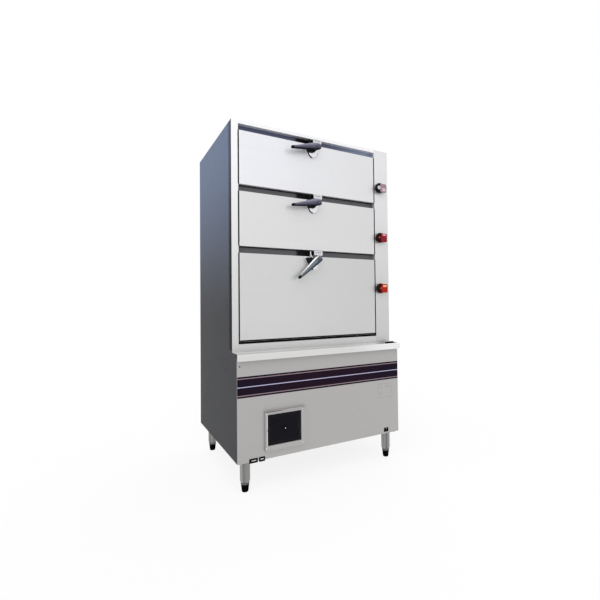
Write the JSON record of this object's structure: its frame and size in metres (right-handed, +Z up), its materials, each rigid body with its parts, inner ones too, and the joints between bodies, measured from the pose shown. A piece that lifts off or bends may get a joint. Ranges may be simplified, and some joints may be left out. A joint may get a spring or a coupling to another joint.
{
  "type": "steam cabinet",
  "caption": "Floor-standing steam cabinet with stacked drop-down doors, latches and steam valves over a gutter, a base with tank and burner, and screw feet.",
  "frame": {"origin": "on the floor under the middle of the cabinet's bounding box", "axes": "+Z up, +X to the right seen from the front, -Y towards the person at the doors"},
  "size_m": [1, 0.856, 1.886],
  "materials": {
    "light_steel": "satin",
    "side_steel": "satin",
    "warm_steel": "satin",
    "band_steel": "satin",
    "liner_steel": "satin",
    "frame_steel": "matte",
    "pipe_steel": "satin",
    "chrome": "polished",
    "lever_metal": "gloss",
    "black_enamel": "gloss",
    "red_plastic": "gloss",
    "dark_metal": "gloss",
    "stripe_film": "gloss",
    "gasket_rubber": "matte",
    "foot_plastic": "matte",
    "gland_plastic": "matte",
    "insulation": "matte",
    "cast_iron": "matte",
    "blower_paint": "satin"
  },
  "bodies": {
    "cabinet": {"side_panel_left": "side_steel", "side_panel_right": "side_steel", "back_panel": "side_steel", "top_panel": "side_steel", "stile_left": "light_steel", "stile_right": "light_steel", "head_rail": "light_steel", "sill_rail": "light_steel", "seat_frame": "band_steel", "liner_walls": "liner_steel", "chamber_floors": "liner_steel", "chamber_roofs": "liner_steel", "body_insulation": "insulation", "shelf_grids": "liner_steel", "keepers": "chrome", "hinge_pins": "pipe_steel", "steam_pipework": "pipe_steel", "valve_bodies": "dark_metal", "gutter": "light_steel", "water_pipes": "pipe_steel", "gas_pipe": "pipe_steel", "base_front_panel": "warm_steel", "stripe_band": "stripe_film", "flap_frame": "warm_steel", "base_frame": "frame_steel", "water_tank": "liner_steel", "burner": "cast_iron", "blower_housing": "blower_paint", "flue_duct": "pipe_steel", "cable_gland": "gland_plastic", "legs": "pipe_steel", "screws": "pipe_steel"},
    "door_lower": {"door_lower_skin": "light_steel", "door_lower_core": "insulation", "door_lower_inner": "liner_steel", "door_lower_gasket": "gasket_rubber", "latch_bracket_lower": "chrome"},
    "door_middle": {"door_middle_skin": "light_steel", "door_middle_core": "insulation", "door_middle_inner": "liner_steel", "door_middle_gasket": "gasket_rubber", "latch_bracket_middle": "chrome"},
    "door_upper": {"door_upper_skin": "light_steel", "door_upper_core": "insulation", "door_upper_inner": "liner_steel", "door_upper_gasket": "gasket_rubber", "latch_bracket_upper": "chrome"},
    "lever_lower": {"latch_lever_lower": "lever_metal"},
    "lever_middle": {"latch_lever_middle": "lever_metal"},
    "lever_upper": {"latch_lever_upper": "lever_metal"},
    "steam_handle_lower": {"valve_handle_lower": "red_plastic"},
    "steam_handle_middle": {"valve_handle_middle": "red_plastic"},
    "steam_handle_upper": {"valve_handle_upper": "red_plastic"},
    "flap_door": {"flap": "black_enamel", "flap_knob": "chrome"},
    "screw_foot_front_left": {"foot_front_left": "foot_plastic"},
    "screw_foot_front_right": {"foot_front_right": "foot_plastic"},
    "screw_foot_rear_left": {"foot_rear_left": "foot_plastic"},
    "screw_foot_rear_right": {"foot_rear_right": "foot_plastic"},
    "fan": {"blower_wheel": "blower_paint"}
  },
  "joints": [
    {"name": "door_lower_hinge", "type": "hinge", "parent": "cabinet", "child": "door_lower", "pos_m": [-0.034, -0.321, 0.758], "axis": [1, 0, 0], "range_deg": [0, 90]},
    {"name": "door_middle_hinge", "type": "hinge", "parent": "cabinet", "child": "door_middle", "pos_m": [-0.034, -0.321, 1.249], "axis": [1, 0, 0], "range_deg": [0, 90]},
    {"name": "door_upper_hinge", "type": "hinge", "parent": "cabinet", "child": "door_upper", "pos_m": [-0.034, -0.321, 1.568], "axis": [1, 0, 0], "range_deg": [0, 90]},
    {"name": "latch_lower_turn", "type": "hinge", "parent": "door_lower", "child": "lever_lower", "pos_m": [-0.0185, -0.363, 1.183], "axis": [0, -1, 0], "range_deg": [-30, 5]},
    {"name": "latch_middle_turn", "type": "hinge", "parent": "door_middle", "child": "lever_middle", "pos_m": [-0.0185, -0.363, 1.502], "axis": [0, -1, 0], "range_deg": [0, 35]},
    {"name": "latch_upper_turn", "type": "hinge", "parent": "door_upper", "child": "lever_upper", "pos_m": [-0.0185, -0.363, 1.817], "axis": [0, -1, 0], "range_deg": [0, 35]},
    {"name": "steam_valve_lower_turn", "type": "hinge", "parent": "cabinet", "child": "steam_handle_lower", "pos_m": [0.427, -0.345, 1.026], "axis": [0, 1, 0], "range_deg": [0, 90]},
    {"name": "steam_valve_middle_turn", "type": "hinge", "parent": "cabinet", "child": "steam_handle_middle", "pos_m": [0.427, -0.345, 1.339], "axis": [0, 1, 0], "range_deg": [0, 90]},
    {"name": "steam_valve_upper_turn", "type": "hinge", "parent": "cabinet", "child": "steam_handle_upper", "pos_m": [0.427, -0.345, 1.648], "axis": [0, 1, 0], "range_deg": [0, 90]},
    {"name": "flap_hinge", "type": "hinge", "parent": "cabinet", "child": "flap_door", "pos_m": [-0.2545, -0.407, 0.375], "axis": [-1, 0, 0], "range_deg": [0, 95]},
    {"name": "foot_front_left_turn", "type": "hinge", "parent": "cabinet", "child": "screw_foot_front_left", "pos_m": [-0.444, -0.346, 0.025], "axis": [0, 0, 1], "range_deg": [0, 360]},
    {"name": "foot_front_right_turn", "type": "hinge", "parent": "cabinet", "child": "screw_foot_front_right", "pos_m": [0.444, -0.346, 0.025], "axis": [0, 0, 1], "range_deg": [0, 360]},
    {"name": "foot_rear_left_turn", "type": "hinge", "parent": "cabinet", "child": "screw_foot_rear_left", "pos_m": [-0.444, 0.314, 0.025], "axis": [0, 0, 1], "range_deg": [0, 360]},
    {"name": "foot_rear_right_turn", "type": "hinge", "parent": "cabinet", "child": "screw_foot_rear_right", "pos_m": [0.444, 0.314, 0.025], "axis": [0, 0, 1], "range_deg": [0, 360]},
    {"name": "blower_spin", "type": "hinge", "parent": "cabinet", "child": "fan", "pos_m": [0.25, -0.1, 0.284], "axis": [0, 1, 0], "continuous": true}
  ]
}
